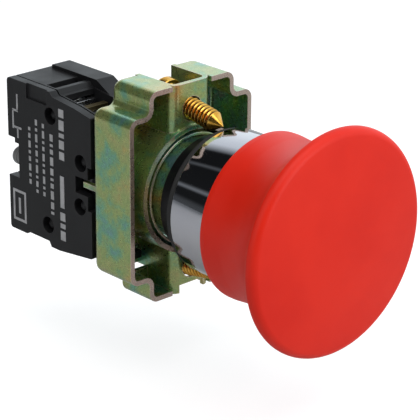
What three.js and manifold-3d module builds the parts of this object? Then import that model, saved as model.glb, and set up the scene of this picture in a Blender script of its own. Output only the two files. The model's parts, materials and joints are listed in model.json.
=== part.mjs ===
// Emergency stop push button, Ø22 mm panel series: red push-pull mushroom head,
// chromed bezel, pressed steel fixing collar and one normally closed contact block.
// Units are millimetres. The origin is the centre of the panel hole, in the face of
// the panel: -Y is the operator's side, +Y is inside the enclosure, +Z is up.

import * as THREE from 'three';
import { mergeVertices } from 'three/addons/utils/BufferGeometryUtils.js';
import Module from 'manifold-3d';

const wasm = await Module();
wasm.setup();

// ---------------------------------------------------------------- driving sizes

const gap = 0.3;                    // air between two pieces that only touch
const big = 60;                     // reach of a cutter that runs clean through
const travel = 4.5;                 // stroke of the head, and of the contact block

// operator: cap, bezel, barrel
const panelHoleRadius = 11.15;
const holePlay = 0.15;              // sleeve in the panel hole, on the radius
const bezelCover = 2.05;            // the bezel reaches this far past the hole's edge
const bezelWall = 1.1;
const bezelLength = 12.9;
const gasketInset = 0.3;            // gasket inside the bezel's edge
const gasketThickness = 1.05;
const capRadius = 20;
const capWall = 2;
const capHeight = 19.2;             // skirt edge to the crown of the dome
const skirtOverlap = 3.7;           // how far the skirt hides the bezel at rest
const skirtWall = 1.5;
const rimRound = 1.8;               // front edge of the widest circle
const rimRearRound = 0.45;
const domeRise = 1.1;
const stemRadius = 5.2;
const spigotRadius = 2.7;
const sleeveWall = 1.2;
const sleeveRear = 3.8;             // the centring sleeve ends this far behind the panel face
const panelMax = 6;                 // thickest panel that the collar can clamp

// fixing collar, a steel pressing
const collarHalfWidth = 14.37;
const collarTop = 15.54;
const collarBottom = -15.24;
const boxHalfWidth = 9.92;
const boxTop = 19.66;
const boxBottom = -19.55;
const collarDepth = 10.43;
const sheet = 0.9;
const bendRadius = 1.8;
const boxStepTop = collarTop + 0.7;
const boxStepBottom = collarBottom - 0.7;
const channelHalfWidth = 3.77;
const boxRearTop = 0.7;             // raised boxes stop short of the rear wall by this
const boxRearBottom = 2.9;
const plateBottom = -18;
const foldRadius = 1.9;             // outside of the bends beside the centre plate

// lock ring and clamp screws
const ringPlay = 0.34;              // lock ring round the barrel's neck
const ringWall = 0.49;
const ringLength = 9.5;
const ringTurn = THREE.MathUtils.degToRad(35);
const screwTilt = THREE.MathUtils.degToRad(10);
const screwRadius = 1.95;
const screwLength = 14;
const screwHeadRadius = 2.9;
const screwHeadHeight = 2.2;
const screwTipY = -0.3;
const screwStandOff = 1.55;         // screw axis at its tip, outside the collar's tube

// contact block
const blockLeft = -14.2;
const blockWidth = 13.4;
const blockLength = 23.6;
const coverThickness = 1.6;
const blockWall = 1.2;
const terminalHeight = 10.4;        // terminal screws above and below the axis
const terminalX = -8;
const terminalScrewRadius = 1.6;
const terminalHeadRadius = 2.9;
const plungerHalfHeight = 1.75;
const plungerNoseX = -6.4;

// ---------------------------------------------------------------- derived places

const sleeveRadius = panelHoleRadius - holePlay;     // outside of the centring sleeve
const bezelRadius = panelHoleRadius + bezelCover;
const gasketRadius = bezelRadius - gasketInset;
const bezelInner = bezelRadius - bezelWall;
const bezelRear = -gasketThickness - gap;
const bezelFront = bezelRear - bezelLength;
const bezelLip = 0.5;
const barrelFront = bezelFront + bezelLip + gap;
const shoulderRadius = bezelInner - gap;
const boreRadius = stemRadius + gap;
const skirtRear = bezelFront + skirtOverlap;
const skirtRadius = bezelRadius + 2 * gap - 0.2 + skirtWall;
const capFront = skirtRear - capHeight;
const bossRadius = 7;
const bossRear = bezelFront - travel - 2 * gap;
const insertRadius = 4.6;
const insertFront = capFront + domeRise + capWall + 1.1;

const barrelNeckRadius = sleeveRadius - gap - sleeveWall;
const ringInnerRadius = barrelNeckRadius + ringPlay;
const flangeInner = ringInnerRadius + ringWall + 0.67;
const flangeOuter = flangeInner + sheet - 0.05;
const screwTipZ = flangeOuter + screwStandOff;

const ringFront = panelMax + 1.05;
const collarFront = ringFront + 0.49;
const collarRear = collarFront + collarDepth;
const blockFront = collarRear + gap;
const blockRear = blockFront + blockLength;
const plateRear = blockFront - gap - travel;
const plateThickness = 1.5;
const plateFront = plateRear - plateThickness;
const barrelRear = plateFront - gap;

const housingLeft = blockLeft + coverThickness + gap;
const housingRight = blockLeft + blockWidth;

// ---------------------------------------------------------------- solid helpers

function solid(geometry) {
  const bare = geometry.index ? geometry.toNonIndexed() : geometry.clone();
  bare.deleteAttribute('normal');
  bare.deleteAttribute('uv');
  const merged = mergeVertices(bare, 1e-4);
  const mesh = new wasm.Mesh({
    numProp: 3,
    vertProperties: Float32Array.from(merged.attributes.position.array),
    triVerts: Uint32Array.from(merged.index.array),
  });
  return new wasm.Manifold(mesh);
}

function toGeometry(manifold) {
  const mesh = manifold.getMesh();
  const geometry = new THREE.BufferGeometry();
  geometry.setAttribute('position', new THREE.BufferAttribute(mesh.vertProperties, 3));
  geometry.setIndex(new THREE.BufferAttribute(mesh.triVerts, 1));
  geometry.computeVertexNormals();
  return geometry;
}

const join = (first, ...others) => others.reduce((sum, next) => sum.add(next), first);
const cut = (first, ...others) => others.reduce((rest, next) => rest.subtract(next), first);

function box(x0, x1, y0, y1, z0, z1) {
  const geometry = new THREE.BoxGeometry(x1 - x0, y1 - y0, z1 - z0);
  geometry.translate((x0 + x1) / 2, (y0 + y1) / 2, (z0 + z1) / 2);
  return solid(geometry);
}

// a body turned about the Y axis; the outline lists [radius, y] anticlockwise
function turned(outline, sides = 40) {
  const points = outline.map(([r, y]) => new THREE.Vector2(r, y));
  return solid(new THREE.LatheGeometry(points, sides));
}

function tube(inner, outer, y0, y1, sides = 40) {
  return turned([[outer, y0], [outer, y1], [inner, y1], [inner, y0], [outer, y0]], sides);
}

function rod(radius, y0, y1, x = 0, z = 0, sides = 16) {
  const geometry = new THREE.CylinderGeometry(radius, radius, y1 - y0, sides);
  geometry.translate(x, (y0 + y1) / 2, z);
  return solid(geometry);
}

function rodX(radius, x0, x1, y, z, sides = 12) {
  const geometry = new THREE.CylinderGeometry(radius, radius, x1 - x0, sides);
  geometry.rotateZ(Math.PI / 2);
  geometry.translate((x0 + x1) / 2, y, z);
  return solid(geometry);
}

function hexRod(radius, y0, y1) {
  const geometry = new THREE.CylinderGeometry(radius, radius, y1 - y0, 6);
  geometry.translate(0, (y0 + y1) / 2, 0);
  return solid(geometry);
}

// an outline drawn in (x, z), swept along Y
function sweepY(shape, y0, y1, extra = {}) {
  const options = { depth: y1 - y0, bevelEnabled: false, curveSegments: 3, ...extra };
  const geometry = new THREE.ExtrudeGeometry(shape, options);
  geometry.rotateX(Math.PI / 2);
  geometry.translate(0, y1, 0);
  return solid(geometry);
}

// an outline drawn in (y, z), swept along X
function sweepX(shape, x0, x1) {
  const geometry = new THREE.ExtrudeGeometry(shape, {
    depth: x1 - x0,
    bevelEnabled: false,
    curveSegments: 2,
  });
  const basis = new THREE.Matrix4().makeBasis(
    new THREE.Vector3(0, 1, 0),
    new THREE.Vector3(0, 0, 1),
    new THREE.Vector3(1, 0, 0),
  );
  geometry.applyMatrix4(basis);
  geometry.translate(x0, 0, 0);
  return solid(geometry);
}

// an outline drawn in (x, y), swept along Z
function sweepZ(shape, z0, z1) {
  const geometry = new THREE.ExtrudeGeometry(shape, {
    depth: z1 - z0,
    bevelEnabled: false,
    curveSegments: 6,
  });
  geometry.translate(0, 0, z0);
  return solid(geometry);
}

// a polygon whose corners [u, v, r] are rounded with radius r
function roundedShape(corners) {
  const shape = new THREE.Shape();
  const count = corners.length;
  corners.forEach(([u, v, r], i) => {
    const here = new THREE.Vector2(u, v);
    const [pu, pv] = corners[(i + count - 1) % count];
    const [nu, nv] = corners[(i + 1) % count];
    const back = new THREE.Vector2(pu - u, pv - v).normalize();
    const ahead = new THREE.Vector2(nu - u, nv - v).normalize();
    const half = Math.acos(THREE.MathUtils.clamp(back.dot(ahead), -1, 1)) / 2;
    const reach = r / Math.tan(half);
    const start = here.clone().addScaledVector(back, reach);
    if (i === 0) shape.moveTo(start.x, start.y);
    else shape.lineTo(start.x, start.y);
    if (r > 0) {
      const bisector = back.clone().add(ahead).normalize();
      const centre = here.clone().addScaledVector(bisector, r / Math.sin(half));
      const end = here.clone().addScaledVector(ahead, reach);
      const from = Math.atan2(start.y - centre.y, start.x - centre.x);
      const to = Math.atan2(end.y - centre.y, end.x - centre.x);
      const clockwise = back.cross(ahead) > 0;
      shape.absarc(centre.x, centre.y, r, from, to, clockwise);
    }
  });
  shape.closePath();
  return shape;
}

class Helix extends THREE.Curve {
  constructor(radius, length, turns) {
    super();
    Object.assign(this, { radius, length, turns });
  }

  getPoint(t, target = new THREE.Vector3()) {
    const angle = 2 * Math.PI * this.turns * t;
    const x = this.radius * Math.sin(angle);
    const z = this.radius * Math.cos(angle);
    return target.set(x, this.length * t, z);
  }
}

// a coil spring along Y from y = 0, as long as its two flat ends
function coil(outerRadius, wireRadius, length, turns, stepsPerTurn = 10) {
  const section = new THREE.Shape();
  section.absarc(0, 0, wireRadius, 0, 2 * Math.PI, false);
  const path = new Helix(outerRadius - wireRadius, length - 2 * wireRadius, turns);
  const geometry = new THREE.ExtrudeGeometry(section, {
    steps: Math.round(turns * stepsPerTurn),
    curveSegments: 3,
    extrudePath: path,
  });
  geometry.translate(0, wireRadius, 0);
  return geometry;
}

// ---------------------------------------------------------------- finishes

const redPlastic = { color: 0xd8302c, roughness: 0.38, metalness: 0 };
const chrome = { color: 0xd9dce0, roughness: 0.06, metalness: 1 };
const chromate = { color: 0xa8a85c, roughness: 0.34, metalness: 0.9 };
const goldPlate = { color: 0xc9962e, roughness: 0.25, metalness: 1 };
const brass = { color: 0xb5974a, roughness: 0.35, metalness: 1 };
const steel = { color: 0xb4b7ba, roughness: 0.3, metalness: 1 };
const silver = { color: 0xdcdcda, roughness: 0.3, metalness: 1 };
const blackPlastic = { color: 0x2a2b2c, roughness: 0.45, metalness: 0 };
const rubber = { color: 0x151515, roughness: 0.8, metalness: 0 };
const greyPlastic = { color: 0xb9bbba, roughness: 0.45, metalness: 0 };

const button = new THREE.Group();

function add(name, shape, finish) {
  const geometry = shape.isBufferGeometry ? shape : toGeometry(shape);
  const mesh = new THREE.Mesh(geometry, new THREE.MeshStandardMaterial(finish));
  mesh.name = name;
  button.add(mesh);
  return mesh;
}

// ---------------------------------------------------------------- mushroom head

function arc(centreR, centreY, radius, fromDegrees, toDegrees, steps) {
  return Array.from({ length: steps + 1 }, (_, i) => {
    const share = i / steps;
    const degrees = fromDegrees + (toDegrees - fromDegrees) * share;
    const angle = THREE.MathUtils.degToRad(degrees);
    return [centreR + radius * Math.cos(angle), centreY + radius * Math.sin(angle)];
  });
}

function mushroomCap() {
  const edgeY = capFront + domeRise;
  const rimRear = edgeY + rimRound + 0.4;
  const waist = skirtRadius - 0.3;
  const waistY = skirtRear - 4.3;
  const crown = capRadius - rimRound;
  const dome = [0, 0.35, 0.6, 0.8, 1].map((share) => [
    crown * share,
    capFront + domeRise * 0.75 * share * share,
  ]);
  const flare = [0.25, 0.5, 0.72, 0.88].map((share) => [
    waist + (capRadius - 0.9 - waist) * share ** 2,
    waistY + (rimRear - waistY) * share,
  ]);
  const outer = [
    ...dome,
    ...arc(crown, edgeY + rimRound - 0.35, rimRound, -68, 0, 5),
    [capRadius, rimRear - rimRearRound],
    [capRadius - rimRearRound, rimRear],
    ...flare.reverse(),
    [waist, waistY],
    [skirtRadius - 0.05, skirtRear - 0.6],
    [skirtRadius - 0.4, skirtRear],
  ];
  const innerRadius = skirtRadius - skirtWall;
  const ceiling = capFront + domeRise + capWall;
  const inner = [
    [innerRadius, skirtRear],
    [innerRadius, skirtRear - 7],
    [capRadius - capWall - 2.6, ceiling + 0.8],
    [capRadius - capWall - 3.4, ceiling],
    [bossRadius, ceiling],
    [bossRadius, bossRear],
    [0, bossRear],
  ];
  const shell = turned([...outer, ...inner]);
  const pocket = hexRod(insertRadius + gap, insertFront - gap, bossRear + 1);
  return cut(shell, pocket);
}

function capInsert() {
  const body = hexRod(insertRadius, insertFront, bossRear - gap);
  return cut(body, rod(spigotRadius + gap, insertFront - 1, bossRear + 1));
}

const detentY = bezelRear - 6;
const ballRadius = 1.25;
const ballCentre = stemRadius + 1.15;
const clipY = barrelFront + 20;

function pushStem() {
  const neck = stemRadius - 0.4;
  const groove = stemRadius - 1;
  const shoulder = bossRear + gap;
  const pushed = detentY - travel;
  return turned([
    [0, insertFront + 1],
    [spigotRadius, insertFront + 1],
    [spigotRadius, shoulder],
    [stemRadius, shoulder],
    [stemRadius, pushed - 1.9],
    [neck, pushed - 1.5],
    [neck, pushed - 1],
    [groove, pushed],
    [neck, pushed + 1],
    [neck, detentY - 1],
    [groove, detentY],
    [neck, detentY + 1],
    [neck, detentY + 1.5],
    [stemRadius, detentY + 1.9],
    [stemRadius, clipY - gap],
    [stemRadius - 1, clipY - gap],
    [stemRadius - 1, clipY + 0.8 + gap],
    [stemRadius, clipY + 0.8 + gap],
    [stemRadius, plateFront - gap],
    [spigotRadius, plateFront - gap],
    [spigotRadius, plateRear],
    [0, plateRear],
  ], 24);
}

function stemClip() {
  const ring = tube(stemRadius - 1 + gap, stemRadius + 1.4, clipY, clipY + 0.8, 24);
  return cut(ring, box(-1.6, 1.6, clipY - 1, clipY + 2, 0, stemRadius + 3));
}

const pusherRadius = 8.6;

function pusherPlate() {
  return tube(spigotRadius + gap, pusherRadius, plateFront, plateRear, 32);
}

// ---------------------------------------------------------------- operator body

function bezelRing() {
  return turned([
    [bezelRadius - 0.4, bezelFront],
    [bezelRadius, bezelFront + 0.4],
    [bezelRadius, bezelRear - 0.2],
    [bezelRadius - 0.2, bezelRear],
    [bezelInner, bezelRear],
    [bezelInner, bezelFront + bezelLip],
    [bezelInner - 1.2, bezelFront + bezelLip],
    [bezelInner - 1.2, bezelFront],
    [bezelRadius - 0.4, bezelFront],
  ], 48);
}

const grooveFront = ringFront + 1.6;
const tabLength = 1;
const tabWidth = 2.4;
const grooveRear = grooveFront + tabLength + 2 * gap;
const grooveRadius = barrelNeckRadius - 1;
const sealRadius = 8;
const sealDepth = 2.2;
const detentHole = ballRadius + gap;

function barrel() {
  const body = turned([
    [shoulderRadius, barrelFront],
    [shoulderRadius, bezelRear],
    [barrelNeckRadius, bezelRear],
    [barrelNeckRadius, grooveFront],
    [grooveRadius, grooveFront],
    [grooveRadius, grooveRear],
    [barrelNeckRadius, grooveRear],
    [barrelNeckRadius, barrelRear],
    [stemRadius + 1.4 + gap, barrelRear],
    [stemRadius + 1.4 + gap, clipY - gap],
    [boreRadius, clipY - gap],
    [boreRadius, barrelFront + sealDepth + 2 * gap],
    [sealRadius + gap, barrelFront + sealDepth + 2 * gap],
    [sealRadius + gap, barrelFront],
    [shoulderRadius, barrelFront],
  ]);
  const detents = rodX(detentHole, -bezelInner, bezelInner, detentY, 0);
  const bore = rod(boreRadius, detentY - 3, detentY + 3);
  const slots = [0, Math.PI].map((angle) => bayonetSlot(angle + Math.PI / 2 + ringTurn));
  return cut(body, cut(detents, bore), ...slots);
}

// the black sleeve that centres the barrel in the panel hole
function centringSleeve() {
  const front = -gasketThickness;
  return turned([
    [sleeveRadius, front],
    [sleeveRadius, sleeveRear - 0.3],
    [sleeveRadius - 0.3, sleeveRear],
    [barrelNeckRadius + gap, sleeveRear],
    [barrelNeckRadius + gap, front],
    [sleeveRadius, front],
  ], 48);
}

function bayonetSlot(angle) {
  const width = tabWidth + 2 * gap;
  const slot = new THREE.BoxGeometry(width, barrelRear - grooveRear + 2, 3);
  slot.translate(0, (barrelRear + grooveRear) / 2, grooveRadius + 1.5);
  slot.rotateY(angle);
  return solid(slot);
}

function lockRing() {
  const outer = ringInnerRadius + ringWall;
  const rear = ringFront + ringLength;
  const ring = tube(ringInnerRadius, outer, ringFront, rear);
  const opening = new THREE.BoxGeometry(2.2, ringLength + 2, 4);
  opening.translate(0, ringFront + ringLength / 2, ringInnerRadius);
  opening.rotateY(ringTurn);
  const band = tube(grooveRadius + gap, ringInnerRadius + 0.2,
    grooveFront + gap, grooveFront + gap + tabLength);
  const tabs = [Math.PI / 2, -Math.PI / 2].map((angle) => {
    const reach = new THREE.BoxGeometry(tabWidth, 4, 4);
    reach.translate(0, grooveFront + 1, ringInnerRadius);
    reach.rotateY(angle);
    return band.intersect(solid(reach));
  });
  return join(cut(ring, solid(opening)), ...tabs);
}

function detentBall(side) {
  const ball = new THREE.SphereGeometry(ballRadius, 10, 6);
  ball.translate(side * ballCentre, detentY, 0);
  return solid(ball);
}

const plugLength = 1;

function detentSpring(side) {
  const start = ballCentre + ballRadius + 0.15;
  const end = shoulderRadius - plugLength - gap - 0.15;
  const spring = coil(ballRadius - 0.1, 0.16, end - start, 3, 6);
  spring.rotateZ(-side * Math.PI / 2);
  spring.translate(side * start, detentY, 0);
  return solid(spring);
}

function detentPlug(side) {
  const near = side * (shoulderRadius - plugLength);
  const far = side * shoulderRadius;
  return rodX(ballRadius, Math.min(near, far), Math.max(near, far), detentY, 0);
}

// ---------------------------------------------------------------- fixing collar

function collarOutline(inset) {
  const convex = bendRadius - inset;
  const concave = bendRadius - 0.7 + inset;
  const side = collarHalfWidth - inset;
  const raised = boxHalfWidth - inset;
  const top = collarTop - inset;
  const bottom = collarBottom + inset;
  const right = [
    [raised, boxBottom + inset, convex],
    [raised, bottom, concave],
    [side, bottom, convex],
    [side, top, convex],
    [raised, top, concave],
    [raised, boxTop - inset, convex],
  ];
  const left = right.map(([x, z, r]) => [-x, z, r]).reverse();
  return roundedShape([...right, ...left]);
}

function tray(inset, y0, y1, round) {
  const bevel = {
    bevelEnabled: true,
    bevelThickness: round,
    bevelSize: round,
    bevelOffset: -round,
    bevelSegments: 4,
    curveSegments: 5,
  };
  const long = sweepY(collarOutline(inset), y0, y1 - round, bevel);
  const front = box(-big, big, y0 - big, y0, -big, big);
  const topRear = box(-big, big, y1 - boxRearTop, y1 + 1, boxStepTop, big);
  const bottomRear = box(-big, big, y1 - boxRearBottom, y1 + 1, -big, boxStepBottom);
  return cut(long, front, topRear, bottomRear);
}

// the U-shaped fold between two raised boxes, from the tube out to the edge
function channel(z0, z1) {
  const outer = channelHalfWidth + sheet;
  const fold = roundedShape([
    [-outer, collarFront, foldRadius],
    [outer, collarFront, foldRadius],
    [outer, collarRear, 0],
    [channelHalfWidth, collarRear, 0],
    [channelHalfWidth, collarFront + sheet, foldRadius - sheet],
    [-channelHalfWidth, collarFront + sheet, foldRadius - sheet],
    [-channelHalfWidth, collarRear, 0],
    [-outer, collarRear, 0],
  ]);
  return sweepZ(fold, z0, z1);
}

const hookHalfWidth = 1.9;
const hookZ = 12.9;
const hookHeight = 0.7;
const hookInnerX = 5.1;                // from the middle of the collar to the hook's near side
const tubeAtHook = Math.sqrt(Math.max(0, (flangeOuter + 2 * gap) ** 2 - hookZ ** 2));
const hookX = -hookHalfWidth - Math.max(hookInnerX, tubeAtHook);    // clear of the collar's tube

// stands a shape that was drawn along +Y on the axis of a clamp screw
function alongScrew(geometry, side) {
  geometry.rotateX(side * screwTilt);
  geometry.translate(0, screwTipY, side * screwTipZ);
  return geometry;
}

function fixingCollar() {
  const slotOuter = channelHalfWidth + sheet;
  const slotRoot = flangeInner - 0.6;
  const shell = cut(
    tray(0, collarFront, collarRear, bendRadius - 0.2),
    tray(sheet, collarFront - 1, collarRear - sheet, bendRadius - 0.2 - sheet),
    box(-slotOuter + 0.1, slotOuter - 0.1, collarFront - 1, collarRear + 1, flangeInner, big),
    box(-slotOuter + 0.1, slotOuter - 0.1, collarFront - 1, collarRear + 1, -big, -flangeInner),
  );
  const upper = channel(slotRoot, boxTop);
  const lower = cut(
    channel(boxBottom, -slotRoot),
    box(-2.9, 2.9, collarFront - 1, collarFront + sheet + 0.2, -big, plateBottom),
  );
  const flange = rod(flangeOuter, ringFront - 0.05, collarRear, 0, 0, 64);
  const boxEnds = [
    box(-slotOuter, slotOuter, collarRear - boxRearTop, collarRear + 1, boxStepTop, big),
    box(-slotOuter, slotOuter, collarRear - boxRearBottom, collarRear + 1, -big, boxStepBottom),
  ];
  const bore = rod(flangeInner, ringFront - 1, collarRear - sheet, 0, 0, 64);
  const mouth = rod(ringInnerRadius + 0.15, ringFront, collarRear + 1, 0, 0, 64);
  const screwHoles = [1, -1].map((side) => {
    const hole = new THREE.CylinderGeometry(screwRadius + gap, screwRadius + gap, 16, 16);
    hole.translate(0, 6, 0);
    return solid(alongScrew(hole, side));
  });
  const windows = [1, -1].flatMap((sideX) => [1, -1].map((sideZ) => {
    const x = sideX * hookX;
    const z = sideZ * (hookZ + hookHeight / 2);
    const halfX = hookHalfWidth + 0.5;
    const halfZ = hookHeight / 2 + 0.5;
    return box(x - halfX, x + halfX, collarRear - 2, collarRear + 1, z - halfZ, z + halfZ);
  }));
  const tongues = [1, -1].map((side) => {
    const middle = side * (collarHalfWidth - sheet / 2 - 0.15);
    return box(middle - sheet / 2, middle + sheet / 2, collarRear - 3, collarRear + 2.4, 0.1, 1.1);
  });
  return join(
    cut(join(cut(join(shell, upper, lower), ...boxEnds), flange), bore, mouth,
      ...screwHoles, ...windows),
    ...tongues,
  );
}

function clampScrew(side) {
  const point = 2.2;
  const neckY = screwLength;
  const shape = new THREE.LatheGeometry([
    [0, 0],
    [0.3, 0.1],
    [screwRadius, point],
    [screwRadius, neckY],
    [screwHeadRadius - 0.3, neckY],
    [screwHeadRadius, neckY + 0.3],
    [screwHeadRadius, neckY + screwHeadHeight - 0.7],
    [screwHeadRadius - 0.8, neckY + screwHeadHeight],
    [0, neckY + screwHeadHeight],
  ].map(([r, y]) => new THREE.Vector2(r, y)), 16);
  const slot = new THREE.BoxGeometry(0.8, 1, 2 * screwHeadRadius + 2);
  slot.translate(0, neckY + screwHeadHeight, 0);
  return cut(solid(alongScrew(shape, side)), solid(alongScrew(slot, side)));
}

// ---------------------------------------------------------------- contact block

const blockTop = 15.5;
const blockBottom = -14.3;
const notchHalf = 3.3;
const notchDepth = 3;
const frontRecess = 1;              // shallow step round the plunger's nose
const pegs = [[11.2, 11], [12.4, -10.2], [2.9, 4.3], [3.2, -4]];
const pegRadius = 1.2;
const pegSink = 0.55;               // peg ends lie this deep in the cover
const pegPlay = 0.4;                // round each peg, in its hole
const pegRoot = Math.min(housingLeft + 1, terminalX - terminalHeadRadius - gap);

function blockOutline() {
  const at = (back, z, r = 0) => [blockFront + back, z, r];
  return roundedShape([
    at(0, -13.2, 0.4),
    at(9.2, blockBottom),
    at(11.6, blockBottom),
    at(12.2, blockBottom + 1),
    at(18.6, blockBottom + 1, 0.2),
    at(18.6, blockBottom + 0.5, 0.2),
    at(blockLength, blockBottom + 0.5, 0.6),
    at(blockLength, -notchHalf, 0.2),
    at(blockLength - notchDepth, -notchHalf),
    at(blockLength - notchDepth, notchHalf),
    at(blockLength - 1.9, notchHalf),
    at(blockLength - 1.9, notchHalf + 0.9),
    at(blockLength, notchHalf + 0.9, 0.2),
    at(blockLength, blockTop, 0.7),
    at(11.3, blockTop, 0.3),
    at(10.5, 14.7),
    at(4.5, 14.1),
    at(0, 13.3, 0.3),
    at(0, 4, 0),
    at(frontRecess, 4, 0),
    at(frontRecess, -4.2, 0),
    at(0, -4.2, 0),
  ]);
}

function blockCover() {
  const slab = sweepX(blockOutline(), blockLeft, blockLeft + coverThickness);
  const holes = pegs.map(([back, z]) =>
    rodX(pegRadius + pegPlay, blockLeft - 1, housingLeft, blockFront + back, z, 20));
  const slot = box(blockLeft - 1, housingLeft, blockFront - 1, blockFront + 4.4, -1.5, 1.6);
  const dent = box(blockLeft - 1, blockLeft + 0.4, blockFront + 12.2, blockFront + 18,
    blockTop - 2.8, blockTop + 1);
  return cut(slab, slot, dent, ...holes);
}

const plateY = blockFront + 5.7;       // front face of the terminal plates
const saddleY = plateY + 3.2;
const screwHeadY = saddleY + 1 + gap;
const wellLeft = terminalX - 4;
const wellRight = terminalX + 3;
const roomHalf = 6.6;
const barFront = blockFront + 9.8;     // front of the bar over the terminal screw's head
const roomFront = blockFront + 2;
const roomRear = blockRear - notchDepth - 0.9;

// a peg along X with a domed end, from the housing out into a hole of the cover
function roundPeg(y, z) {
  const length = pegRoot - blockLeft - pegSink;
  const domed = arc(0, pegRadius - length, pegRadius, -90, 0, 4);
  const outline = [...domed, [pegRadius, 0], [0, 0]].map(([r, v]) => new THREE.Vector2(r, v));
  outline[0].x = 0;
  const peg = new THREE.LatheGeometry(outline, 16);
  peg.rotateZ(-Math.PI / 2);
  peg.translate(pegRoot, y, z);
  return solid(peg);
}

function blockHousing() {
  const slab = sweepX(blockOutline(), housingLeft, housingRight);
  const railFront = blockFront + 5.5;
  const rail = sweepX(roundedShape([
    [railFront - 1, 13, 0],
    [blockRear - 1.4, 13, 0],
    [blockRear - 1.4, blockTop + 0.7, 0.3],
    [railFront + 4, blockTop + 0.7, 1],
    [railFront, 14.1, 0.5],
  ]), wellRight + 0.2, housingRight);
  const pins = pegs.map(([back, z]) => roundPeg(blockFront + back, z));
  const feet = pegs.filter(([, z]) => Math.abs(z) < roomHalf).map(([back, z]) => box(
    housingLeft, housingLeft + 1, blockFront + 1, blockFront + back + pegRadius,
    z - pegRadius, z + pegRadius));
  const room = box(housingLeft - 1, housingRight - blockWall, roomFront, roomRear,
    -roomHalf, roomHalf);
  const noseHole = box(plungerNoseX - 2, plungerNoseX + 2, blockFront - 1, roomFront + 1,
    -plungerHalfHeight - gap, plungerHalfHeight + gap);
  const tailHole = box(housingLeft - 1, tailRight + gap, roomRear - 1, blockRear + 1,
    -plungerHalfHeight - gap, plungerHalfHeight + gap);
  const wells = [1, -1].flatMap((side) => {
    const span = (near, far) => [Math.min(side * near, side * far),
      Math.max(side * near, side * far)];
    const plateSlot = box(wellLeft, wellRight, plateY - gap, plateY + 1.2 + gap,
      ...span(roomHalf - 1, roomHalf + 2));
    const well = box(wellLeft, wellRight, blockFront + 1.6, barFront,
      ...span(roomHalf + 0.8, big));
    const headRoom = box(wellLeft, wellRight, barFront - 1, screwHeadY + 2.3,
      ...span(roomHalf + 0.8, terminalHeight + terminalHeadRadius + gap));
    const sink = rod(terminalHeadRadius + gap, screwHeadY - 1, blockRear + 1,
      terminalX, side * terminalHeight);
    const groove = box(wellLeft, wellRight + 0.2, barFront + 2.5, barFront + 5,
      ...span(blockTop - 1.5, big));
    return [plateSlot, well, headRoom, sink, groove];
  });
  const hooks = [1, -1].map((side) => {
    const z0 = side > 0 ? hookZ : -hookZ - hookHeight;
    const barb = side > 0 ? z0 : z0 - 0.7;
    return join(
      box(hookX - hookHalfWidth, hookX + hookHalfWidth, collarRear - 2.6, blockFront + 1,
        z0, z0 + hookHeight),
      box(hookX - hookHalfWidth, hookX + hookHalfWidth, collarRear - 2.6,
        collarRear - sheet - gap, barb, barb + hookHeight + 0.7),
    );
  });
  return join(cut(join(slab, rail), room, noseHole, tailHole, ...wells), ...pins, ...feet, ...hooks);
}

function terminalPlate(side) {
  const strip = new THREE.Shape();
  const inner = plungerHalfHeight + 1;
  const outer = terminalHeight + 2.6;
  const left = wellLeft + gap + 0.2;
  const right = wellRight - gap;
  strip.moveTo(left, side * inner);
  strip.lineTo(right, side * inner);
  strip.lineTo(right, side * outer);
  strip.lineTo(left, side * outer);
  strip.closePath();
  const sheetMetal = sweepY(strip, plateY, plateY + 1.2);
  const hole = rod(terminalScrewRadius + gap, plateY - 1, plateY + 3,
    terminalX, side * terminalHeight, 16);
  return cut(sheetMetal, hole);
}

const contactZ = 4.8;
const tipRadius = 1.1;
const tipHeight = 0.6;
const bridgeX = -8.5;
const bridgeY = plateY + 1.2 + 2 * tipHeight + 3 * gap;

function contactTip(y, side) {
  return rod(tipRadius, y, y + tipHeight, bridgeX, side * contactZ, 16);
}

function terminalScrew(side) {
  const head = terminalHeadRadius;
  const z = side * terminalHeight;
  const body = new THREE.LatheGeometry([
    [0, blockFront + 2],
    [terminalScrewRadius, blockFront + 2.6],
    [terminalScrewRadius, screwHeadY],
    [head, screwHeadY],
    [head, screwHeadY + 1.2],
    [head - 0.8, screwHeadY + 1.9],
    [0, screwHeadY + 1.9],
  ].map(([r, y]) => new THREE.Vector2(r, y)), 16);
  body.translate(terminalX, 0, z);
  const top = screwHeadY + 1.9;
  return cut(
    solid(body),
    box(terminalX - 0.4, terminalX + 0.4, top - 0.9, top + 1, z - 2, z + 2),
    box(terminalX - 2, terminalX + 2, top - 0.9, top + 1, z - 0.4, z + 0.4),
  );
}

function clampSaddle(side) {
  const z = side * terminalHeight;
  return cut(
    box(terminalX - 2.8, terminalX + 2.6, saddleY, saddleY + 1, z - 2.7, z + 2.7),
    rod(terminalScrewRadius + 0.15, saddleY - 1, saddleY + 2, terminalX, z, 16),
  );
}

const tailRight = -6.3;
const bodyRight = -2.8;
const bodyLeft = housingLeft + 0.9;
const windowLeft = bridgeX - 1.2;
const windowRight = bridgeX + 1.2;
const windowRear = bridgeY + 7;
const springX = -4.1;
const springRadius = 1.4;

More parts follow.
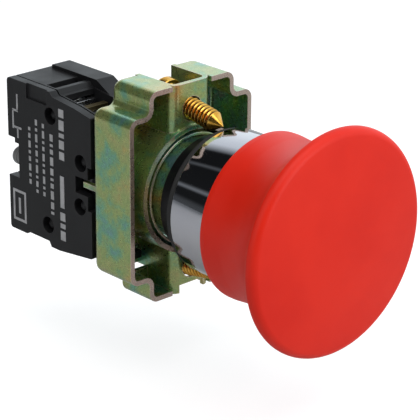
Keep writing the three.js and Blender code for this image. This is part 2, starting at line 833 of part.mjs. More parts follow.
function blockPlunger() {
  const half = plungerHalfHeight;
  const nose = box(plungerNoseX - 1.6, plungerNoseX + 1.6, plateRear + gap, roomFront + 2,
    -half, half);
  const bodyFront = roomFront + gap;
  const body = box(bodyLeft, bodyRight, bodyFront, bridgeY - gap, -half, half);
  const rails = box(bodyLeft, tailRight, bridgeY - 1, blockRear - notchDepth, -half, half);
  const tailFront = blockRear - notchDepth + 0.4;
  const knob = new THREE.LatheGeometry([
    [0, tailFront],
    [half, tailFront],
    [half, tailFront + 0.7],
    [half - 0.25, tailFront + 0.8],
    [half - 0.25, tailFront + 1.1],
    [half, tailFront + 1.2],
    ...arc(half - 0.9, blockRear - 0.7, 0.9, 0, 90, 4),
    [0, blockRear + 0.2],
  ].map(([r, y]) => new THREE.Vector2(r, y)), 24);
  knob.translate(blockLeft + 0.5 + half, 0, 0);
  const tail = solid(knob);
  const bridging = box(bodyLeft + 0.5, tailRight, blockRear - notchDepth - 1,
    blockRear - notchDepth + 1, -half, half);
  const window = box(windowLeft, windowRight, bridgeY - gap, windowRear, -big, big);
  return cut(join(nose, body, rails, bridging, tail), window);
}

function bridgeContact() {
  return box(bridgeX - 0.9, bridgeX + 0.9, bridgeY, bridgeY + 0.8, -6.1, 6.1);
}

function contactSpring() {
  const spring = coil(0.9, 0.16, windowRear - bridgeY - 0.8 - 2 * gap, 4, 8);
  spring.translate(bridgeX, bridgeY + 0.8 + gap, 0);
  return solid(spring);
}

function returnSpring() {
  const spring = coil(springRadius, 0.2, roomRear - bridgeY - gap, 5, 8);
  spring.translate(springX, bridgeY, 0);
  return solid(spring);
}

// ---------------------------------------------------------------- assembly

add('mushroom_cap', mushroomCap(), redPlastic);
add('cap_insert', capInsert(), brass);
add('push_stem', pushStem(), steel);
add('stem_clip', stemClip(), steel);
add('pusher_plate', pusherPlate(), steel);

add('bezel_ring', bezelRing(), chrome);
add('barrel', barrel(), chromate);
add('centring_sleeve', centringSleeve(), blackPlastic);
add('panel_gasket', tube(sleeveRadius + gap, gasketRadius, -gasketThickness, 0), rubber);
add('stem_seal', tube(boreRadius, sealRadius, barrelFront + 0.1, barrelFront + sealDepth),
  rubber);
for (const [label, side] of [['left', -1], ['right', 1]]) {
  add(`detent_ball_${label}`, detentBall(side), steel);
  add(`detent_spring_${label}`, detentSpring(side), steel);
  add(`detent_plug_${label}`, detentPlug(side), brass);
}

add('fixing_collar', fixingCollar(), chromate);
add('lock_ring', lockRing(), chromate);
add('clamp_screw_top', clampScrew(1), goldPlate);
add('clamp_screw_bottom', clampScrew(-1), goldPlate);

add('block_housing', blockHousing(), blackPlastic);
add('block_cover', blockCover(), blackPlastic);
for (const [label, side] of [['top', 1], ['bottom', -1]]) {
  add(`terminal_plate_${label}`, terminalPlate(side), brass);
  add(`fixed_tip_${label}`, contactTip(plateY + 1.2 + gap, side), silver);
  add(`terminal_screw_${label}`, terminalScrew(side), steel);
  add(`clamp_saddle_${label}`, clampSaddle(side), steel);
  add(`bridge_tip_${label}`, contactTip(bridgeY - gap - tipHeight, side), silver);
}
add('bridge_contact', bridgeContact(), brass);
add('contact_spring', contactSpring(), steel);
add('return_spring', returnSpring(), steel);
add('block_plunger', blockPlunger(), greyPlastic);

export default button;
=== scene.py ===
# %% [markdown]
# # An emergency stop button, built around its CAD frame
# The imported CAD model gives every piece's place and every moving body. This script
# only adds looks: finer surfaces for the pieces that show, and a finish for each of
# them. Lengths are metres, the operator is on the -Y side and +Z is up.

import json
import math

import bmesh
import bpy
import numpy as np
from mathutils import Matrix, Vector

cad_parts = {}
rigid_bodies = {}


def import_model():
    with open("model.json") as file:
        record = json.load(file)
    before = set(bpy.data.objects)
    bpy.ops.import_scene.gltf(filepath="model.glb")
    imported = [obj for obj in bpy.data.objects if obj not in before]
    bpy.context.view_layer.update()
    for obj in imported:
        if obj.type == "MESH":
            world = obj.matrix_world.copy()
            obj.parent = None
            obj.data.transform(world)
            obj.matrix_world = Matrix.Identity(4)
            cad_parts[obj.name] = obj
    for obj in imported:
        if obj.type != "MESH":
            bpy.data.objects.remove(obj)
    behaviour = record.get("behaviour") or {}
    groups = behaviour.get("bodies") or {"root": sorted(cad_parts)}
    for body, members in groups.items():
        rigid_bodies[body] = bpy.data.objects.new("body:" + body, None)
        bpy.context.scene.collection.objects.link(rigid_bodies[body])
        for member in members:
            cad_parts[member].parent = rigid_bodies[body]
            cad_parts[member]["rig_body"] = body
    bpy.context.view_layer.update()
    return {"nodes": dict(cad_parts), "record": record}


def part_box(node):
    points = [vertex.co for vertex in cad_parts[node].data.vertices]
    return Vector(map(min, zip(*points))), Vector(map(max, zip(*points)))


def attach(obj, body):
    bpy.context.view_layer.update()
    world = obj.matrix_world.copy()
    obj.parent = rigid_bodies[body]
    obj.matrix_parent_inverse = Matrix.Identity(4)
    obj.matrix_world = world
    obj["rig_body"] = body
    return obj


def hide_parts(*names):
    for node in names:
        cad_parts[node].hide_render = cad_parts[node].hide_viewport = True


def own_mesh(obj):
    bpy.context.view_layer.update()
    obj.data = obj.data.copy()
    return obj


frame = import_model()
MM = 0.001

# %% [markdown]
# ## Mesh helpers
# Almost every piece here is turned or pressed, so its surface is a grid of points:
# one direction goes round, the other goes along the profile. One helper turns such a
# grid into a mesh, and closes it round or along where the surface closes on itself.

# %% Grid surfaces


def grid_mesh(name, points, closed_u=True, closed_v=False, smooth=True):
    """A mesh from points[u, v] = (x, y, z): each quad joins four neighbours, and a
    closed direction also joins its last row to its first."""
    nu, nv = points.shape[:2]
    u = np.arange(nu if closed_u else nu - 1)
    v = np.arange(nv if closed_v else nv - 1)
    uu, vv = np.meshgrid(u, v, indexing="ij")
    a = uu * nv + vv
    b = ((uu + 1) % nu) * nv + vv
    c = ((uu + 1) % nu) * nv + (vv + 1) % nv
    d = uu * nv + (vv + 1) % nv
    quads = np.stack([a, b, c, d], axis=-1).reshape(-1, 4)
    mesh = bpy.data.meshes.new(name)
    mesh.from_pydata(points.reshape(-1, 3), [], quads)
    mesh.polygons.foreach_set("use_smooth", np.full(len(mesh.polygons), smooth))
    mesh.update()
    piece = bpy.data.objects.new(name, mesh)
    bpy.context.scene.collection.objects.link(piece)
    return piece


def rounded_profile(corners, steps=5):
    """A profile line: each corner (radius, y, fillet) in millimetres is replaced by a
    circular arc that touches both of its sides; a fillet of 0 keeps a sharp corner."""
    corners = [np.array(c, float) for c in corners]
    line = [corners[0][:2]]
    for before, here, after in zip(corners, corners[1:], corners[2:]):
        back = before[:2] - here[:2]
        ahead = after[:2] - here[:2]
        room = 0.499 * min(np.hypot(*back), np.hypot(*ahead))
        back /= np.hypot(*back)
        ahead /= np.hypot(*ahead)
        half = math.acos(np.clip(back @ ahead, -1, 1)) / 2
        if here[2] <= 0 or half > 1.56:
            line.append(here[:2])
            continue
        reach = min(here[2] / math.tan(half), room)
        radius = reach * math.tan(half)
        centre = here[:2] + (back + ahead) / np.hypot(*(back + ahead)) * radius / math.sin(half)
        start = here[:2] + back * reach - centre
        end = here[:2] + ahead * reach - centre
        first = math.atan2(start[1], start[0])
        sweep = (math.atan2(end[1], end[0]) - first + math.pi) % (2 * math.pi) - math.pi
        angles = first + sweep * np.linspace(0, 1, steps + 1)
        line.extend(centre + radius * np.stack([np.cos(angles), np.sin(angles)], axis=1))
    line.append(corners[-1][:2])
    return np.array(line)


def turned(name, profile, sides=128, closed=False):
    """The profile (radius, y) carried round the Y axis: x = r sin a, z = r cos a."""
    angle = np.linspace(0, 2 * math.pi, sides, endpoint=False)[:, None]
    radius, y = profile[:, 0] * MM, profile[:, 1] * MM
    points = np.stack(
        [np.sin(angle) * radius, np.broadcast_to(y, (sides, len(y))), np.cos(angle) * radius],
        axis=-1,
    )
    return grid_mesh(name, points, closed_v=closed)


def finish_mesh(piece, doubles=1e-6):
    """Merges the points that a pole or a seam repeats, and turns the faces outwards."""
    bm = bmesh.new()
    bm.from_mesh(piece.data)
    bmesh.ops.remove_doubles(bm, verts=bm.verts, dist=doubles)
    bmesh.ops.dissolve_degenerate(bm, edges=bm.edges, dist=1e-7)
    bmesh.ops.recalc_face_normals(bm, faces=bm.faces)
    bm.to_mesh(piece.data)
    bm.free()
    return piece


def stand_in(piece, node, material):
    """The finished piece takes a CAD node's place, body and material."""
    piece.data.materials.clear()
    piece.data.materials.append(material)
    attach(piece, frame["nodes"][node]["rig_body"])
    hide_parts(node)
    print(f"{piece.name}: {len(piece.data.polygons)} faces for {node}")


def low(node):
    """A CAD node's lowest corner, in millimetres."""
    return np.array(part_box(node)[0]) / MM


def high(node):
    """A CAD node's highest corner, in millimetres."""
    return np.array(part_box(node)[1]) / MM

# %% [markdown]
# ## Finishes
# Edge wear with painted highlight, and unevenness, are the same idea on every material:
# a mask that is strong on edges, whose lighter colour stands for both wear and painted
# highlight, and a slow noise that shifts colour and roughness. Both are node groups, made
# once. The edge mask compares the true normal with one that a Bevel node rounds, so
# it is bright only where the surface turns sharply.

# %% Node groups


def new_group(name, inputs, outputs):
    """A shader node group with its input and output sockets, and its two end nodes."""
    group = bpy.data.node_groups.new(name, "ShaderNodeTree")
    for label, kind, value in inputs:
        socket = group.interface.new_socket(name=label, in_out="INPUT", socket_type=kind)
        socket.default_value = value
    for label, kind in outputs:
        group.interface.new_socket(name=label, in_out="OUTPUT", socket_type=kind)
    return group, group.nodes.new("NodeGroupInput"), group.nodes.new("NodeGroupOutput")


def math_node(tree, operation, first, second=None, clamp=False):
    """A Math node whose inputs are sockets or plain numbers."""
    node = tree.nodes.new("ShaderNodeMath")
    node.operation = operation
    node.use_clamp = clamp
    for slot, value in enumerate([first, second]):
        if isinstance(value, (int, float)):
            node.inputs[slot].default_value = value
        elif value is not None:
            tree.links.new(value, node.inputs[slot])
    return node.outputs[0]


def make_edge_wear_and_highlight_group():
    """Mask of edge wear and painted highlight = |rounded normal - true normal| times a gain,
    broken up by noise.
    """
    group, start, end = new_group(
        "edge wear and painted highlight",
        [("Width", "NodeSocketFloat", 0.0003), ("Gain", "NodeSocketFloat", 3.0)],
        [("Mask", "NodeSocketFloat")],
    )
    bevel = group.nodes.new("ShaderNodeBevel")
    bevel.samples = 4
    group.links.new(start.outputs["Width"], bevel.inputs["Radius"])
    flat = group.nodes.new("ShaderNodeNewGeometry")
    gap = group.nodes.new("ShaderNodeVectorMath")
    gap.operation = "DISTANCE"
    group.links.new(bevel.outputs[0], gap.inputs[0])
    group.links.new(flat.outputs["Normal"], gap.inputs[1])
    place = group.nodes.new("ShaderNodeTexCoord")
    noise = group.nodes.new("ShaderNodeTexNoise")
    noise.inputs["Scale"].default_value = 900
    group.links.new(place.outputs["Object"], noise.inputs["Vector"])
    strong = math_node(group, "MULTIPLY", gap.outputs["Value"], start.outputs["Gain"])
    broken = math_node(group, "MULTIPLY", strong, noise.outputs["Fac"], clamp=True)
    group.links.new(broken, end.inputs["Mask"])
    return group


def make_grain_group():
    """Two noises on Object coordinates: a fine one for bump, a slow one for colour."""
    group, start, end = new_group(
        "grain",
        [("Fine", "NodeSocketFloat", 4000.0), ("Slow", "NodeSocketFloat", 120.0)],
        [("Fine", "NodeSocketFloat"), ("Slow", "NodeSocketFloat")],
    )
    place = group.nodes.new("ShaderNodeTexCoord")
    for label, detail in (("Fine", 2.0), ("Slow", 4.0)):
        noise = group.nodes.new("ShaderNodeTexNoise")
        noise.inputs["Detail"].default_value = detail
        group.links.new(place.outputs["Object"], noise.inputs["Vector"])
        group.links.new(start.outputs[label], noise.inputs["Scale"])
        group.links.new(noise.outputs["Fac"], end.inputs[label])
    return group


EDGE_WEAR_AND_HIGHLIGHT = make_edge_wear_and_highlight_group()
GRAIN = make_grain_group()


def use_group(tree, group, **values):
    """A group node in this tree, with its named inputs set to numbers."""
    node = tree.nodes.new("ShaderNodeGroup")
    node.node_tree = group
    for label, value in values.items():
        node.inputs[label].default_value = value
    return node


def mix_colour(tree, factor, first, second, blend="MIX"):
    """A colour Mix node; each argument is a socket, a number or an RGB colour."""
    node = tree.nodes.new("ShaderNodeMix")
    node.data_type = "RGBA"
    node.blend_type = blend
    for socket, value in zip((node.inputs[0], node.inputs[6], node.inputs[7]),
                             (factor, first, second)):
        if isinstance(value, (int, float)):
            socket.default_value = value
        elif isinstance(value, tuple):
            socket.default_value = (*value, 1)
        else:
            tree.links.new(value, socket)
    return node.outputs[2]


def remap(tree, value, low_value, high_value, start=0.35, stop=0.65):
    """Stretches value from start..stop onto low_value..high_value."""
    node = tree.nodes.new("ShaderNodeMapRange")
    node.inputs["From Min"].default_value = start
    node.inputs["From Max"].default_value = stop
    node.inputs["To Min"].default_value = low_value
    node.inputs["To Max"].default_value = high_value
    tree.links.new(value, node.inputs["Value"])
    return node.outputs["Result"]


def finish(name, colour, second, roughness, metallic=0.0, bump=0.1, grain=4000.0, slow=150.0,
           edge_wear_and_highlight=None, wear_and_highlight_gain=2.0, wear_and_highlight_width=0.00025, spread=0.06, coat=0.0, specular=0.5,
           round_edges=0.0):
    """A Principled material: slow noise blends two colours and shifts the roughness,
    fine noise gives the bump, and the edge mask lets a third colour through, which stands
    for edge wear and painted highlight."""
    material = bpy.data.materials.new(name)
    material.use_nodes = True
    tree = material.node_tree
    shader = tree.nodes["Principled BSDF"]
    shader.inputs["Metallic"].default_value = metallic
    shader.inputs["Coat Weight"].default_value = coat
    shader.inputs["Coat Roughness"].default_value = 0.12
    shader.inputs["Specular IOR Level"].default_value = specular
    noise = use_group(tree, GRAIN, Fine=grain, Slow=slow)
    tone = remap(tree, noise.outputs["Slow"], 0.0, 1.0)
    base = mix_colour(tree, tone, colour, second)
    # a lighter colour on the edges: edge wear and painted highlight
    if edge_wear_and_highlight is not None:
        wear_and_highlight = use_group(tree, EDGE_WEAR_AND_HIGHLIGHT, Width=wear_and_highlight_width, Gain=wear_and_highlight_gain)
        base = mix_colour(tree, wear_and_highlight.outputs["Mask"], base, edge_wear_and_highlight)
    tree.links.new(base, shader.inputs["Base Color"])
    rough = remap(tree, noise.outputs["Slow"], roughness - spread, roughness + spread)
    tree.links.new(rough, shader.inputs["Roughness"])
    relief = tree.nodes.new("ShaderNodeBump")
    relief.inputs["Strength"].default_value = bump
    relief.inputs["Distance"].default_value = 0.00005
    tree.links.new(noise.outputs["Fine"], relief.inputs["Height"])
    if round_edges > 0:
        soft = tree.nodes.new("ShaderNodeBevel")
        soft.samples = 4
        soft.inputs["Radius"].default_value = round_edges
        tree.links.new(soft.outputs[0], relief.inputs["Normal"])
    tree.links.new(relief.outputs[0], shader.inputs["Normal"])
    return material


# %% Plain finishes

# each edge colour below is lighter than its base: edge wear and painted highlight along the edges
RED = finish("red moulding", (0.76, 0.020, 0.006), (0.70, 0.015, 0.004), 0.44, bump=0.14,
             grain=3500.0, slow=70.0, spread=0.03, specular=0.22)
CHROME = finish("mirror chrome", (0.52, 0.52, 0.55), (0.50, 0.50, 0.54), 0.06, 1.0, bump=0.01,
                grain=900.0, spread=0.012)
BLACK = finish("black moulding", (0.008, 0.008, 0.009), (0.012, 0.012, 0.013), 0.46, bump=0.22,
               grain=5200.0, edge_wear_and_highlight=(0.045, 0.045, 0.047), wear_and_highlight_gain=1.0, specular=0.24)
# darker than the black moulding: painted shade on the sleeve set back under the bezel and cap
SHADED_SLEEVE_BLACK = finish("sleeve moulding with painted shade", (0.002, 0.002, 0.003), (0.004, 0.004, 0.005), 0.4, bump=0.15,
                edge_wear_and_highlight=(0.03, 0.03, 0.03), specular=0.25)
RUBBER = finish("gasket rubber", (0.008, 0.008, 0.008), (0.016, 0.016, 0.016), 0.7, bump=0.4,
                grain=2600.0)
STEEL = finish("zinc plated steel", (0.62, 0.63, 0.65), (0.50, 0.52, 0.55), 0.28, 1.0, bump=0.15,
               edge_wear_and_highlight=(0.85, 0.85, 0.86), round_edges=0.0001)
BRASS = finish("brass", (0.46, 0.33, 0.13), (0.36, 0.25, 0.09), 0.34, 1.0, bump=0.15,
               edge_wear_and_highlight=(0.9, 0.75, 0.4), round_edges=0.0001)
# brass darkened as painted shade, for the terminal plates deep in the dark wire well
SHADED_BRASS = finish("brass darkened by painted shade", (0.13, 0.10, 0.05), (0.09, 0.07, 0.035), 0.5, 1.0, bump=0.2,
                    edge_wear_and_highlight=(0.4, 0.32, 0.16))
SILVER = finish("silver contact", (0.85, 0.84, 0.80), (0.70, 0.69, 0.66), 0.3, 1.0, bump=0.2)
GREY = finish("grey moulding", (0.19, 0.19, 0.19), (0.15, 0.15, 0.15), 0.45, bump=0.25,
              edge_wear_and_highlight=(0.34, 0.34, 0.34), round_edges=0.0002)

# %% [markdown]
# ## Yellow-green chromate
# Passivated zinc is a thin clear film on bright metal, so its colour drifts from
# olive and gold to teal, blue and pink with the film's thickness. Two noises of
# different sizes walk along one colour ramp, and a fine speckle keeps it granular.

# %% Chromate finish

CUT_EDGE_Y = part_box("fixing_collar")[0][1] + 0.0008
PLATE_HALF_WIDTH = 0.0046


def cut_edge_mask(tree):
    """1 on the sheared front edges of the sheet: faces that look towards the operator,
    within a band at the pressing's front, on either side of its centre plate."""
    place = tree.nodes.new("ShaderNodeTexCoord")
    where = tree.nodes.new("ShaderNodeSeparateXYZ")
    facing = tree.nodes.new("ShaderNodeSeparateXYZ")
    tree.links.new(place.outputs["Object"], where.inputs[0])
    tree.links.new(place.outputs["Normal"], facing.inputs[0])
    in_band = math_node(tree, "LESS_THAN", where.outputs["Y"], CUT_EDGE_Y)
    forward = math_node(tree, "LESS_THAN", facing.outputs["Y"], -0.3)
    width = math_node(tree, "ABSOLUTE", where.outputs["X"])
    beside = math_node(tree, "GREATER_THAN", width, PLATE_HALF_WIDTH)
    front_edge = math_node(tree, "MULTIPLY", in_band, forward)
    return math_node(tree, "MULTIPLY", front_edge, beside)


def chromate_finish():
    """Film thickness = slow drift + blotches; a ramp turns thickness into colour."""
    material = bpy.data.materials.new("yellow chromate")
    material.use_nodes = True
    tree = material.node_tree
    shader = tree.nodes["Principled BSDF"]
    shader.inputs["Metallic"].default_value = 0.74
    shader.inputs["Coat Weight"].default_value = 0.6
    shader.inputs["Coat Roughness"].default_value = 0.2
    shader.inputs["Coat IOR"].default_value = 1.7
    drift = use_group(tree, GRAIN, Fine=420.0, Slow=115.0)
    speckle = use_group(tree, GRAIN, Fine=3800.0, Slow=1500.0)
    slow = math_node(tree, "MULTIPLY", drift.outputs["Slow"], 0.8)
    blotch = math_node(tree, "MULTIPLY", drift.outputs["Fine"], 0.2)
    thickness = math_node(tree, "ADD", slow, blotch)
    ramp = tree.nodes.new("ShaderNodeValToRGB")
    stops = [
        (0.27, (0.46, 0.22, 0.36)),
        (0.35, (0.14, 0.30, 0.34)),
        (0.42, (0.14, 0.38, 0.22)),
        (0.49, (0.29, 0.40, 0.12)),
        (0.56, (0.36, 0.40, 0.13)),
        (0.64, (0.50, 0.36, 0.08)),
        (0.73, (0.26, 0.42, 0.15)),
    ]
    elements = ramp.color_ramp.elements
    while len(elements) < len(stops):
        elements.new(0.5)
    for element, (place, colour) in zip(elements, stops):
        element.position = place
        element.color = (*colour, 1)
    tree.links.new(thickness, ramp.inputs["Fac"])
    spark = remap(tree, speckle.outputs["Fine"], 0.8, 1.12, 0.3, 0.7)
    base = tree.nodes.new("ShaderNodeVectorMath")
    base.operation = "SCALE"
    tree.links.new(ramp.outputs["Color"], base.inputs[0])
    tree.links.new(spark, base.inputs["Scale"])
    # pale pinkish edges on the sheet: edge wear and painted highlight
    wear_and_highlight = use_group(tree, EDGE_WEAR_AND_HIGHLIGHT, Width=0.00028, Gain=2.4)
    colour = mix_colour(tree, wear_and_highlight.outputs["Mask"], base.outputs[0], (0.80, 0.62, 0.52))
    colour = mix_colour(tree, cut_edge_mask(tree), colour, (0.42, 0.33, 0.27))
    tree.links.new(colour, shader.inputs["Base Color"])
    rough = remap(tree, speckle.outputs["Slow"], 0.24, 0.38)
    tree.links.new(rough, shader.inputs["Roughness"])
    relief = tree.nodes.new("ShaderNodeBump")
    relief.inputs["Strength"].default_value = 0.2
    relief.inputs["Distance"].default_value = 0.00006
    tree.links.new(speckle.outputs["Slow"], relief.inputs["Height"])
    tree.links.new(relief.outputs[0], shader.inputs["Normal"])
    return material


CHROMATE = chromate_finish()

# %% [markdown]
# ## Gold screws
# The clamp screws are passivated in a warmer gold, darker in the roots of the thread
# by painted shade.

# %% Gold finish


def paint_root_shade(material, root_shade_colour):
    """Painted shade: mixes the base colour towards a dark brown by the mesh's "root"
    attribute, which is 1 at the bottom of the thread and 0 on its crest."""
    tree = material.node_tree
    shader = tree.nodes["Principled BSDF"]
    base = shader.inputs["Base Color"].links[0].from_socket
    root_shade_mask = tree.nodes.new("ShaderNodeAttribute")
    root_shade_mask.attribute_name = "root"
    tree.links.new(mix_colour(tree, root_shade_mask.outputs["Fac"], base, root_shade_colour),
                   shader.inputs["Base Color"])
    return material


# the bright narrow edge colour is painted highlight on the thread and head edges, with edge wear
GOLD = finish("gold passivated", (0.80, 0.47, 0.09), (0.62, 0.31, 0.04), 0.22, 1.0, bump=0.12,
              grain=3000.0, slow=500.0, edge_wear_and_highlight=(0.95, 0.78, 0.36), wear_and_highlight_gain=1.2,
              wear_and_highlight_width=0.00012)
# painted shade in the roots of the thread
GOLD = paint_root_shade(GOLD, (0.035, 0.014, 0.004))

# %% [markdown]
# ## Carried-over nodes
# The inner pieces are right as the CAD has them, so they only take a finish.

# %% Finish the CAD nodes

SLOT_FINISH = {
    "red_plastic": RED,
    "brass": BRASS,
    "bare_steel": STEEL,
    "chromed_bezel": CHROME,
    "black_plastic": BLACK,
    "gasket_rubber": RUBBER,
    "yellow_chromate": CHROMATE,
    "gold_screw": GOLD,
    "silver_contact": SILVER,
    "grey_plastic": GREY,
}

for part in frame["record"]["subparts"]:
    node = frame["nodes"][part["node"]]
    node.data.materials.clear()
    node.data.materials.append(SLOT_FINISH[part["material_slot"]])
# the centring sleeve takes the black that is darkened by painted shade
frame["nodes"]["centring_sleeve"].data.materials[0] = SHADED_SLEEVE_BLACK
# the terminal plates take the brass that is darkened by painted shade
for label in ("top", "bottom"):
    frame["nodes"][f"terminal_plate_{label}"].data.materials[0] = SHADED_BRASS

# %% [markdown]
# ## Mushroom cap
# A moulded cap is one turned shell: a shallow dome, a soft rim, and a hollow neck that
# sweeps back to the skirt over the bezel. Its section is a chain of arcs, so the
# highlights run smoothly round the rim.

# %% Mushroom cap


def arc_points(centre, radius, first, last, steps=8):
    """Points of a circle arc round centre, from first to last, in degrees."""
    angle = np.radians(np.linspace(first, last, steps + 1))
    return np.array(centre) + radius * np.stack([np.cos(angle), np.sin(angle)], axis=1)


front, rear = low("mushroom_cap")[1], high("mushroom_cap")[1]
RIM_RADIUS = high("mushroom_cap")[0]
BEZEL_RADIUS = high("bezel_ring")[0]
RIM_FRONT_ROUND = 1.6
RIM_REAR_ROUND = 0.45
DOME_SLOPE = 7.5
SKIRT_RADIUS = BEZEL_RADIUS + 1.85
SKIRT_WALL = 1.5
BOSS_RADIUS, POCKET_RADIUS = 7.0, 4.9
CLEARANCE = 0.3
boss_rear = high("cap_insert")[1] + CLEARANCE
pocket_end = low("cap_insert")[1] - CLEARANCE

dome_end = RIM_RADIUS - RIM_FRONT_ROUND + RIM_FRONT_ROUND * math.sin(math.radians(DOME_SLOPE))
dome_radius = dome_end / math.sin(math.radians(DOME_SLOPE))
dome = arc_points((0, front + dome_radius), dome_radius, -90, -90 + DOME_SLOPE, 20)
rim_y = dome[-1, 1] + RIM_FRONT_ROUND * math.cos(math.radians(DOME_SLOPE))
rim = arc_points((RIM_RADIUS - RIM_FRONT_ROUND, rim_y), RIM_FRONT_ROUND,
                 -90 + DOME_SLOPE, 0, 14)
lip = arc_points((RIM_RADIUS - RIM_REAR_ROUND, rim_y + 0.1), RIM_REAR_ROUND, 0, 100, 8)
waist_y = rear - 4.3
share = np.linspace(0, 1, 24)[1:, None]
neck_top = lip[-1]
neck_bottom = np.array([SKIRT_RADIUS - 0.3, waist_y])
neck_pull = np.array([SKIRT_RADIUS - 0.1, lip[-1, 1] + 4.6])
neck = ((1 - share) ** 2 * neck_top + 2 * share * (1 - share) * neck_pull
        + share ** 2 * neck_bottom)
skirt = rounded_profile([
    (*neck_bottom, 0), (SKIRT_RADIUS, rear - 1.2, 1.0), (SKIRT_RADIUS, rear, 0.35),
    (SKIRT_RADIUS - SKIRT_WALL, rear, 0.3), (SKIRT_RADIUS - SKIRT_WALL, rear - 7, 1.5),
    (RIM_RADIUS - 4.6, front + 3.9, 0.6), (RIM_RADIUS - 5.4, front + 3.1, 0.4),
    (BOSS_RADIUS, front + 3.1, 0.5), (BOSS_RADIUS, boss_rear, 0.4),
    (POCKET_RADIUS, boss_rear, 0.2), (POCKET_RADIUS, pocket_end, 0.1), (0, pocket_end, 0)], 6)
cap = turned("mushroom_cap_skin", np.vstack([dome, rim[1:], lip, neck, skirt[1:]]), 192)
stand_in(finish_mesh(cap), "mushroom_cap", RED)

# %% [markdown]
# ## Bezel, gasket, sleeve and barrel
# Four more turned pieces. Each is one closed section carried round the axis; small
# fillets catch the light at the bezel's ends. The barrel's section is plain: it leaves
# out the cross bore for the detents and the two bayonet slots.

# %% Turned pieces


def ring_piece(name, node, material, corners, sides=160):
    """A closed section of filleted corners, turned, in the place of a CAD node."""
    start = (np.array(corners[0][:2]) + np.array(corners[-1][:2])) / 2
    loop = rounded_profile([(*start, 0), *corners, (*start, 0)], 4)[:-1]
    stand_in(finish_mesh(turned(name, loop, sides, closed=True)), node, material)


BEZEL_WALL, BEZEL_LIP, LIP_DEPTH = 1.1, 2.3, 0.5
bezel_front, bezel_rear = low("bezel_ring")[1], high("bezel_ring")[1]
lip_rear = bezel_front + LIP_DEPTH
ring_piece("bezel_ring_skin", "bezel_ring", CHROME, [
    (BEZEL_RADIUS, bezel_front, 0.4), (BEZEL_RADIUS, bezel_rear, 0.15),
    (BEZEL_RADIUS - BEZEL_WALL, bezel_rear, 0.1), (BEZEL_RADIUS - BEZEL_WALL, lip_rear, 0.1),
    (BEZEL_RADIUS - BEZEL_LIP, lip_rear, 0.1), (BEZEL_RADIUS - BEZEL_LIP, bezel_front, 0.2)])

gasket_radius, gasket_front = high("panel_gasket")[0], low("panel_gasket")[1]
gasket_bore = high("centring_sleeve")[0] + CLEARANCE
ring_piece("panel_gasket_skin", "panel_gasket", RUBBER, [
    (gasket_radius, gasket_front, 0.25), (gasket_radius, 0, 0.25),
    (gasket_bore, 0, 0.1), (gasket_bore, gasket_front, 0.1)])

sleeve_front, sleeve_rear = low("centring_sleeve")[1], high("centring_sleeve")[1]
sleeve_radius = high("centring_sleeve")[0]
SLEEVE_TO_NECK = 1.5
NECK_RADIUS = sleeve_radius - SLEEVE_TO_NECK
sleeve_bore = NECK_RADIUS + CLEARANCE
ring_piece("centring_sleeve_skin", "centring_sleeve", SHADED_SLEEVE_BLACK, [
    (sleeve_radius, sleeve_front, 0.1), (sleeve_radius, sleeve_rear, 0.4),
    (sleeve_bore, sleeve_rear, 0.15), (sleeve_bore, sleeve_front, 0.1)])

shoulder = high("barrel")[0]
barrel_front, barrel_rear = low("barrel")[1], high("barrel")[1]
BORE_RADIUS, GROOVE, GROOVE_DEPTH = 5.5, (8.65, 10.25), 1
CLIP_BORE, CLIP_BORE_Y = 6.9, 5.75
SEAL_BORE, SEAL_DEPTH = 8.3, 2.8
groove_floor, seal_rear = NECK_RADIUS - GROOVE_DEPTH, barrel_front + SEAL_DEPTH
ring_piece("barrel_skin", "barrel", CHROMATE, [
    (shoulder, barrel_front, 0.2), (shoulder, bezel_rear, 0.1), (NECK_RADIUS, bezel_rear, 0),
    (NECK_RADIUS, GROOVE[0], 0.1), (groove_floor, GROOVE[0], 0.1),
    (groove_floor, GROOVE[1], 0.1), (NECK_RADIUS, GROOVE[1], 0.1),
    (NECK_RADIUS, barrel_rear, 0.2), (CLIP_BORE, barrel_rear, 0.1),
    (CLIP_BORE, CLIP_BORE_Y, 0.1), (BORE_RADIUS, CLIP_BORE_Y, 0.1),
    (BORE_RADIUS, seal_rear, 0.1), (SEAL_BORE, seal_rear, 0.1),
    (SEAL_BORE, barrel_front, 0.15)])

# %% [markdown]
# ## Lock ring
# A strip rolled into a C. Its section is carried round most of a turn and the two
# ends are capped, which leaves the slit at the upper right. The tabs are left out.

# %% Lock ring

RING_BORE, RING_WALL = 9.84, 0.49
SLIT_ANGLE, SLIT_WIDTH = math.radians(35), 2.2
RING_STEPS = 180


def lock_ring():
    """A filleted strip section carried from one end of the slit to the other."""
    front_y, rear_y = low("lock_ring")[1], high("lock_ring")[1]
    inner = RING_BORE
    outer = inner + RING_WALL
    middle = (outer + inner) / 2
    loop = rounded_profile([
        (middle, front_y, 0), (outer, front_y, 0.2), (outer, rear_y, 0.2),
        (inner, rear_y, 0.2), (inner, front_y, 0.2), (middle, front_y, 0)], 4)[:-1]
    half_slit = SLIT_WIDTH / 2 / middle
    angle = np.linspace(SLIT_ANGLE + half_slit, SLIT_ANGLE - half_slit + 2 * math.pi, RING_STEPS)
    angle = angle[:, None]
    radius, y = loop[:, 0] * MM, loop[:, 1] * MM
    points = np.stack([np.sin(angle) * radius, np.broadcast_to(y, (RING_STEPS, len(y))),
                       np.cos(angle) * radius], axis=-1)
    ring = grid_mesh("lock_ring_skin", points, closed_u=False, closed_v=True)
    count = len(loop)
    bm = bmesh.new()
    bm.from_mesh(ring.data)
    bm.verts.ensure_lookup_table()
    bm.faces.new([bm.verts[i] for i in range(count)])
    bm.faces.new([bm.verts[(RING_STEPS - 1) * count + i] for i in range(count)])
    bm.to_mesh(ring.data)
    bm.free()
    return finish_mesh(ring)


stand_in(lock_ring(), "lock_ring", CHROMATE)

